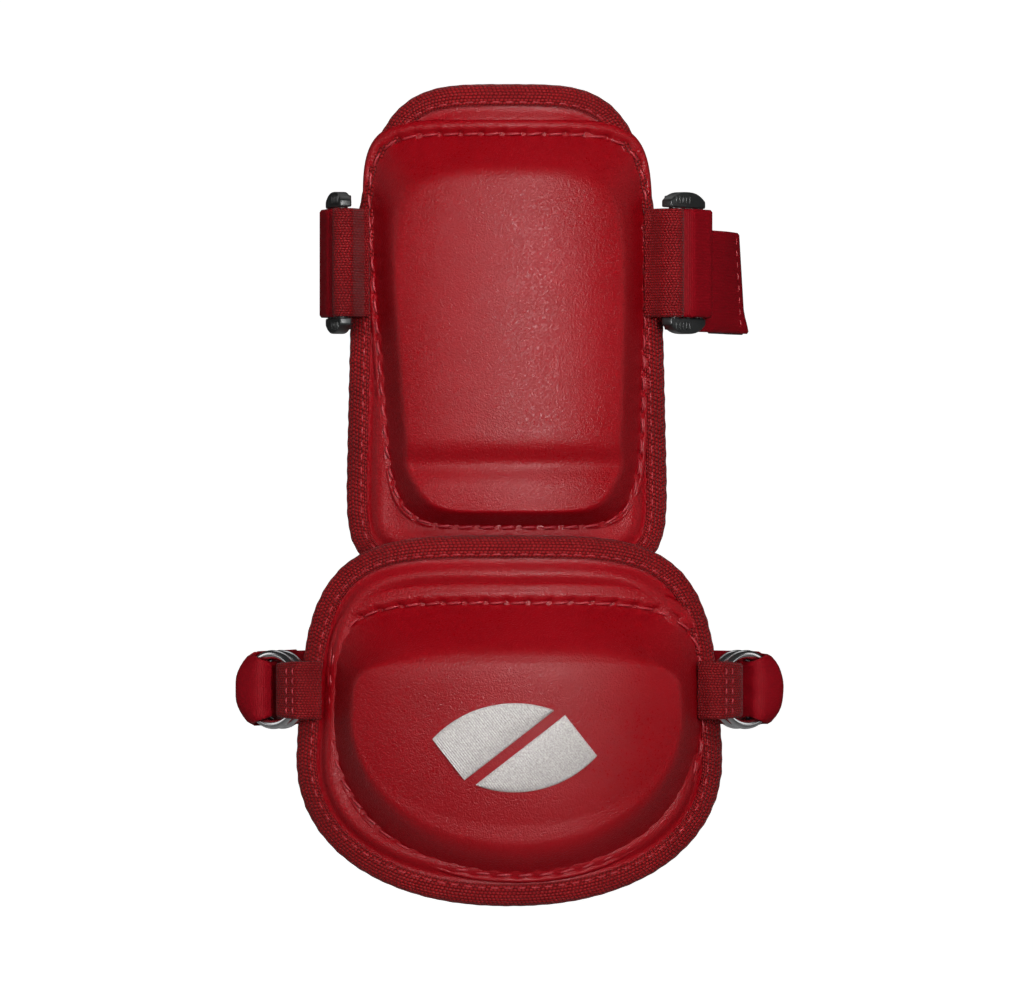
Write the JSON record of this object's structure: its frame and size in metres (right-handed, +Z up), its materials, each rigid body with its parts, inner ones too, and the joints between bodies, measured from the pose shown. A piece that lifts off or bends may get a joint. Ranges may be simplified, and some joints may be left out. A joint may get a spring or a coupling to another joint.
{
  "type": "elbow guard",
  "caption": "Two-piece padded elbow guard: a long arm panel with a hard raised shell, a hinged elbow cup, a buckled strap and a ring strap.",
  "frame": {"origin": "on the axis of the wearer's arm, level with the elbow panel's lower edge", "axes": "+Z up the arm, -Y the guard's front face, +X to the right as seen from the front"},
  "size_m": [0.1624, 0.1455, 0.2415],
  "materials": {
    "lining": "brushed tricot",
    "foam": "closed-cell foam",
    "leather": "smooth grained, satin",
    "webbing": "twill woven",
    "shell_plastic": "moulded",
    "thread": "twisted thread",
    "strap": "brushed elastic",
    "loop_pile": "loop pile",
    "emblem": "satin stitch embroidery",
    "buckle_plastic": "satin moulded",
    "hook_pile": "moulded hook tape",
    "steel": "polished nickel plate"
  },
  "bodies": {
    "arm_panel": {"arm_liner": "lining", "arm_foam": "foam", "arm_base_cover": "leather", "arm_binding": "webbing", "arm_shell_foam": "foam", "arm_shell": "shell_plastic", "arm_shell_cover": "leather", "arm_shell_stitching": "thread", "hinge_strip": "webbing", "left_webbing_tab": "webbing", "right_webbing_tab": "webbing", "upper_strap": "strap", "upper_loop_tape": "loop_pile"},
    "elbow_panel": {"elbow_liner": "lining", "elbow_foam": "foam", "elbow_base_cover": "leather", "elbow_binding": "webbing", "elbow_shell_foam": "foam", "elbow_shell": "shell_plastic", "elbow_shell_cover": "leather", "elbow_shell_stitching": "thread", "elbow_emblem": "emblem", "lower_strap": "strap", "lower_loop_tape": "loop_pile"},
    "left_buckle": {"left_buckle": "buckle_plastic", "left_strap_fold": "strap"},
    "right_buckle": {"right_buckle": "buckle_plastic", "right_strap_fold": "strap"},
    "upper_tail": {"upper_strap_tail": "strap", "upper_hook_tape": "hook_pile"},
    "left_rings": {"left_ring_tab": "webbing", "left_ring_front": "steel", "left_ring_back": "steel", "left_strap_turn": "strap"},
    "right_rings": {"right_ring_tab": "webbing", "right_ring_front": "steel", "right_ring_back": "steel", "right_strap_turn": "strap"},
    "lower_tail": {"lower_strap_tail": "strap", "lower_hook_tape": "hook_pile"}
  },
  "joints": [
    {"name": "elbow_hinge", "type": "hinge", "parent": "arm_panel", "child": "elbow_panel", "pos_m": [0, -0.06, 0.097], "axis": [1, 0, 0], "range_deg": [0, 40]},
    {"name": "left_buckle_swivel", "type": "hinge", "parent": "arm_panel", "child": "left_buckle", "pos_m": [-0.04873, -0.05289, 0.189], "axis": [0, 0, 1], "range_deg": [0, 20]},
    {"name": "right_buckle_swivel", "type": "hinge", "parent": "arm_panel", "child": "right_buckle", "pos_m": [0.04894, -0.05025, 0.189], "axis": [0, 0, 1], "range_deg": [-20, 0]},
    {"name": "upper_tail_peel", "type": "hinge", "parent": "right_buckle", "child": "upper_tail", "pos_m": [0.06034, -0.03721, 0.185], "axis": [0, 0, 1], "range_deg": [-60, 0]},
    {"name": "left_ring_swivel", "type": "hinge", "parent": "elbow_panel", "child": "left_rings", "pos_m": [-0.06046, -0.05737, 0.063], "axis": [0, 0, 1], "range_deg": [0, 20]},
    {"name": "right_ring_swivel", "type": "hinge", "parent": "elbow_panel", "child": "right_rings", "pos_m": [0.06126, -0.05737, 0.063], "axis": [0, 0, 1], "range_deg": [-20, 0]},
    {"name": "lower_tail_peel", "type": "hinge", "parent": "left_rings", "child": "lower_tail", "pos_m": [-0.07725, -0.03963, 0.063], "axis": [0, 0, 1], "range_deg": [0, 60]}
  ]
}
